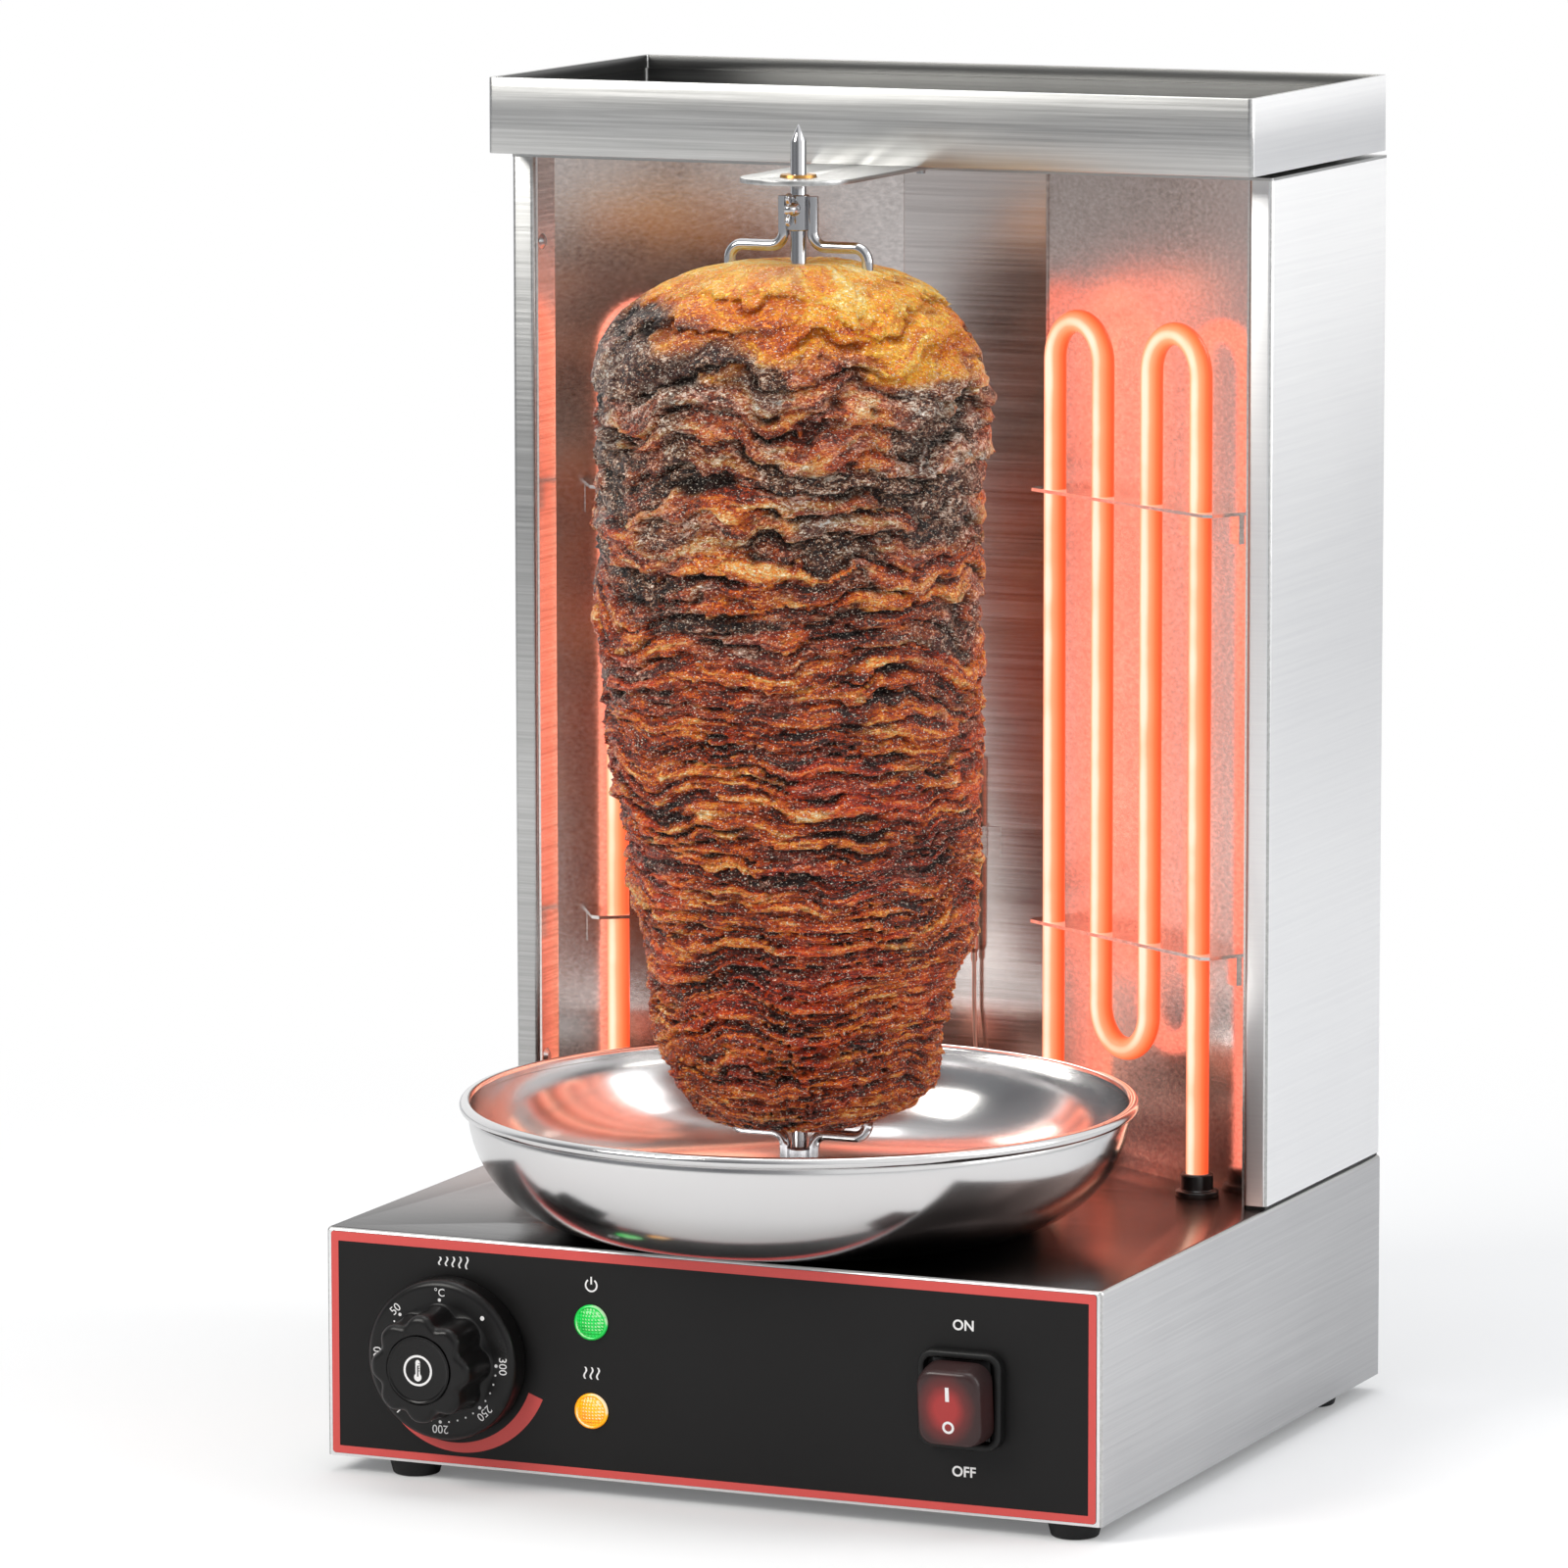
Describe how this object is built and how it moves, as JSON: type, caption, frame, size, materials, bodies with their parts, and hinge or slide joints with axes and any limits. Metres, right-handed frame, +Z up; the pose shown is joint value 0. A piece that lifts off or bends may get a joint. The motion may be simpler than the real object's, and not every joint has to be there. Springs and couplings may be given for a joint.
{
  "type": "doner kebab grill",
  "caption": "Table-top electric kebab grill: motor-driven upright spit with loaded meat, glowing heaters in an angled reflector, drip pan, top tray, and a panel with knob, lamps and switch.",
  "frame": {"origin": "on the table under the middle of the bounding box", "axes": "+Z up, the control panel faces -Y, +X to the right seen from the front"},
  "size_m": [0.36, 0.398, 0.592],
  "materials": {
    "brushed_stainless": "horizontally brushed stainless steel",
    "galvanised_steel": "zinc-coated sheet steel",
    "reflector_steel": "bright brushed stainless steel, warmed by the heaters",
    "printed_overlay": "satin polyester overlay printed black with a red border",
    "foot_rubber": "moulded black rubber",
    "seal_black": "black silicone seal",
    "zinc_screw": "bright zinc-plated steel",
    "glowing_tube": "steel-sheathed heating tube, glowing orange",
    "bushing_black": "black heat-proof bushing",
    "bronze_bush": "plain bronze",
    "white_nylon": "natural white nylon",
    "polished_spit": "polished stainless steel",
    "roast_meat": "roasted stacked meat slices, glossy with fat",
    "mirror_pan": "mirror-polished spun stainless steel",
    "cast_case": "as-cast aluminium",
    "motor_can": "black lacquered steel can",
    "knob_black": "moulded black thermoset plastic",
    "knob_cap_black": "black plastic cap with a printed sign",
    "control_black": "black moulded polyamide",
    "lens_green": "clear green moulded lens with a prism grid",
    "lens_amber": "clear amber moulded lens with a prism grid",
    "rocker_red": "lit red moulded rocker",
    "boot_clear": "soft translucent cover",
    "boot_frame_black": "black rubber frame",
    "bulb_metal": "plated copper tube",
    "terminal_ivory": "ivory moulded plastic"
  },
  "bodies": {
    "frame": {"base_rear": "brushed_stainless", "base_shell": "brushed_stainless", "bearing_bush": "bronze_bush", "bearing_plate": "brushed_stainless", "boot_frame": "boot_frame_black", "bottom_plate": "galvanised_steel", "bracket_screws": "zinc_screw", "bulb_clip": "reflector_steel", "bushing_nuts": "bushing_black", "cable_gland": "control_black", "capillary_grommet": "seal_black", "capillary_tube": "bulb_metal", "ceiling_sheet": "brushed_stainless", "deck_bush": "white_nylon", "foot_screws": "zinc_screw", "front_overlay": "printed_overlay", "gearcase": "cast_case", "heater_bracket_left_lower": "reflector_steel", "heater_bracket_left_upper": "reflector_steel", "heater_bracket_right_lower": "reflector_steel", "heater_bracket_right_upper": "reflector_steel", "heater_bushings": "bushing_black", "heater_left": "glowing_tube", "heater_right": "glowing_tube", "lamp_body_amber": "control_black", "lamp_body_green": "control_black", "lamp_lens_amber": "lens_amber", "lamp_lens_green": "lens_green", "motor": "motor_can", "motor_hanger": "galvanised_steel", "rear_cover": "brushed_stainless", "reflector_left": "reflector_steel", "reflector_middle": "reflector_steel", "reflector_right": "reflector_steel", "reflector_rivets": "zinc_screw", "rubber_feet": "foot_rubber", "seam_gasket": "seal_black", "side_panel_left": "brushed_stainless", "side_panel_right": "brushed_stainless", "switch_body": "control_black", "terminal_block": "terminal_ivory", "thermostat": "control_black", "thermostat_bulb": "bulb_metal", "top_screws": "zinc_screw", "top_tray": "brushed_stainless", "tray_spacers": "galvanised_steel"},
    "drive": {"output_shaft": "zinc_screw", "drive_socket": "polished_spit"},
    "spit": {"skewer": "polished_spit", "meat": "roast_meat"},
    "upper_fork": {"upper_fork": "polished_spit"},
    "upper_screw": {"upper_wing_screw": "polished_spit"},
    "lower_fork": {"lower_fork": "polished_spit"},
    "lower_screw": {"lower_wing_screw": "polished_spit"},
    "pan": {"drip_pan": "mirror_pan"},
    "knob": {"knob": "knob_black", "knob_cap": "knob_cap_black", "thermostat_spindle": "zinc_screw"},
    "rocker": {"switch_rocker": "rocker_red", "switch_boot": "boot_clear"}
  },
  "joints": [
    {"name": "spit_turn", "type": "hinge", "parent": "frame", "child": "drive", "pos_m": [0, -0.052, 0.1075], "axis": [0, 0, 1], "continuous": true},
    {"name": "spit_lift", "type": "slide", "parent": "drive", "child": "spit", "axis": [0, 0, 1], "range_m": [0, 0.0028]},
    {"name": "upper_fork_slide", "type": "slide", "parent": "spit", "child": "upper_fork", "axis": [0, 0, 1], "range_m": [0, 0.001]},
    {"name": "upper_screw_turn", "type": "hinge", "parent": "upper_fork", "child": "upper_screw", "pos_m": [0, -0.052, 0.5453], "axis": [0, -1, 0], "range_deg": [0, 360]},
    {"name": "lower_fork_slide", "type": "slide", "parent": "spit", "child": "lower_fork", "axis": [0, 0, -1], "range_m": [0, 0.002]},
    {"name": "lower_screw_turn", "type": "hinge", "parent": "lower_fork", "child": "lower_screw", "pos_m": [0, -0.052, 0.1287], "axis": [0, 1, 0], "range_deg": [0, 360]},
    {"name": "pan_lift", "type": "slide", "parent": "frame", "child": "pan", "axis": [0, 0, 1], "range_m": [0, 0.012]},
    {"name": "knob_turn", "type": "hinge", "parent": "frame", "child": "knob", "pos_m": [-0.1195, -0.15, 0.0558], "axis": [0, 1, 0], "range_deg": [0, 270]},
    {"name": "rocker_tilt", "type": "hinge", "parent": "frame", "child": "rocker", "pos_m": [0.1175, -0.152, 0.057], "axis": [-1, 0, 0], "range_deg": [0, 11.2]}
  ]
}
